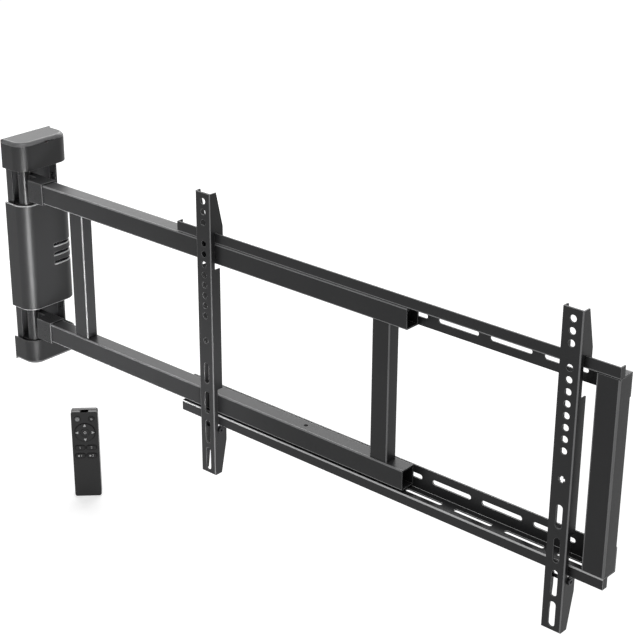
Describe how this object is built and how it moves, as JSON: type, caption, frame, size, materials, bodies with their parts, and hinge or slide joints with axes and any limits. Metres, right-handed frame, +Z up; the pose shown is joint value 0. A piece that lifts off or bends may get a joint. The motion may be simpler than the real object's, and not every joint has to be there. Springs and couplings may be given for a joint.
{
  "type": "motorized tv wall mount",
  "caption": "Motorized swing-out wall mount for a flat screen: geared hinge column, braced tube arm, slotted rail frame, hook-on uprights and a hand remote.",
  "frame": {"origin": "middle of the wall bracket's back face", "axes": "+Z up, +X along the wall away from the hinge, -Y into the room; the arm is swung out square to the wall along -Y, with its screen side facing -X"},
  "size_m": [0.1128, 1.111, 0.658],
  "materials": {
    "powder_coat": "fine-textured satin powder coat",
    "cover_plastic": "satin moulded",
    "bright_steel": "ground",
    "zinc_plate": "zinc plated",
    "black_zinc": "black zinc plated",
    "bush_plastic": "black acetal",
    "brass_plain": "plain",
    "board_laminate": "solder masked",
    "relay_plastic": "moulded",
    "terminal_plastic": "moulded",
    "black_gloss": "polished",
    "ir_plastic": "dark red, polished",
    "remote_plastic": "semi-gloss moulded",
    "key_rubber": "satin",
    "key_grey_rubber": "satin",
    "key_gloss": "semi-gloss",
    "cell_jacket": "plain metal jacket"
  },
  "bodies": {
    "wall_unit": {"wall_bracket": "powder_coat", "bearing_plates": "powder_coat", "top_cap": "cover_plastic", "middle_cover": "cover_plastic", "bottom_cap": "cover_plastic", "cover_screws": "black_zinc", "pivot_bushes": "bush_plastic", "motor_shelf": "powder_coat", "gearbox": "bright_steel", "drive_motor": "zinc_plate", "shelf_screws": "zinc_plate", "control_board": "board_laminate", "board_relays": "relay_plastic", "board_capacitor": "black_gloss", "board_terminal": "terminal_plastic", "board_posts": "brass_plain", "dc_inlet": "black_gloss", "ir_window": "ir_plastic"},
    "arm": {"pivot_shaft": "bright_steel", "thrust_washers": "bush_plastic", "retaining_rings": "bright_steel", "upper_hinge_block": "powder_coat", "lower_hinge_block": "powder_coat", "roll_pins": "bright_steel", "swing_gear": "bright_steel", "upper_tube": "powder_coat", "lower_tube": "powder_coat", "near_brace": "powder_coat", "far_brace": "powder_coat", "rail_bolts": "zinc_plate", "rail_washers": "zinc_plate", "rail_nuts": "zinc_plate"},
    "drive_pinion": {"drive_pinion": "bright_steel"},
    "tv_frame": {"upper_rail": "powder_coat", "lower_rail": "powder_coat", "end_panel": "powder_coat"},
    "near_upright": {"near_upright": "powder_coat", "near_lock_bolt": "black_zinc", "near_lock_nut": "black_zinc"},
    "far_upright": {"far_upright": "powder_coat", "far_lock_bolt": "black_zinc", "far_lock_nut": "black_zinc"},
    "remote": {"remote_front_shell": "remote_plastic", "remote_back_shell": "remote_plastic", "remote_battery_door": "remote_plastic", "remote_cells": "cell_jacket", "remote_board": "board_laminate", "remote_lens": "ir_plastic"},
    "power_key": {"power_key": "key_grey_rubber"},
    "set_key": {"set_key": "key_rubber"},
    "direction_ring": {"direction_ring": "key_gloss"},
    "ok_key": {"ok_key": "key_gloss"},
    "preset_one_key": {"preset_one_key": "key_rubber"},
    "preset_two_key": {"preset_two_key": "key_rubber"},
    "memory_one_key": {"memory_one_key": "key_rubber"},
    "memory_two_key": {"memory_two_key": "key_rubber"}
  },
  "joints": [
    {"name": "swing", "type": "hinge", "parent": "wall_unit", "child": "arm", "pos_m": [-0.0325, -0.031, 0], "axis": [0, 0, 1], "range_deg": [0, 90]},
    {"name": "pinion_spin", "type": "hinge", "parent": "wall_unit", "child": "drive_pinion", "pos_m": [-0.01673, -0.02751, 0.052], "axis": [0, 0, 1], "range_deg": [-150, 0]},
    {"name": "frame_slide", "type": "slide", "parent": "arm", "child": "tv_frame", "axis": [0, -1, 0], "range_m": [-0.03, 0.024]},
    {"name": "near_upright_slide", "type": "slide", "parent": "tv_frame", "child": "near_upright", "axis": [0, -1, 0], "range_m": [-0.04, 0.255]},
    {"name": "far_upright_slide", "type": "slide", "parent": "tv_frame", "child": "far_upright", "axis": [0, -1, 0], "range_m": [-0.231, 0.014]},
    {"name": "remote_slide", "type": "slide", "parent": "wall_unit", "child": "remote", "axis": [1, 0, 0], "range_m": [-0.05, 0.05]},
    {"name": "power_key_press", "type": "slide", "parent": "remote", "child": "power_key", "axis": [0.7071, 0.7071, 0], "range_m": [0, 0.0008], "stiffness_N_per_m": 1500},
    {"name": "set_key_press", "type": "slide", "parent": "remote", "child": "set_key", "axis": [0.7071, 0.7071, 0], "range_m": [0, 0.0008], "stiffness_N_per_m": 1500},
    {"name": "direction_ring_press", "type": "slide", "parent": "remote", "child": "direction_ring", "axis": [0.7071, 0.7071, 0], "range_m": [0, 0.0008], "stiffness_N_per_m": 1500},
    {"name": "ok_key_press", "type": "slide", "parent": "remote", "child": "ok_key", "axis": [0.7071, 0.7071, 0], "range_m": [0, 0.0008], "stiffness_N_per_m": 1500},
    {"name": "preset_one_key_press", "type": "slide", "parent": "remote", "child": "preset_one_key", "axis": [0.7071, 0.7071, 0], "range_m": [0, 0.0008], "stiffness_N_per_m": 1500},
    {"name": "preset_two_key_press", "type": "slide", "parent": "remote", "child": "preset_two_key", "axis": [0.7071, 0.7071, 0], "range_m": [0, 0.0008], "stiffness_N_per_m": 1500},
    {"name": "memory_one_key_press", "type": "slide", "parent": "remote", "child": "memory_one_key", "axis": [0.7071, 0.7071, 0], "range_m": [0, 0.0008], "stiffness_N_per_m": 1500},
    {"name": "memory_two_key_press", "type": "slide", "parent": "remote", "child": "memory_two_key", "axis": [0.7071, 0.7071, 0], "range_m": [0, 0.0008], "stiffness_N_per_m": 1500}
  ],
  "couplings": [
    {"joint": "pinion_spin", "follows": "swing", "ratio": -1.6667}
  ]
}
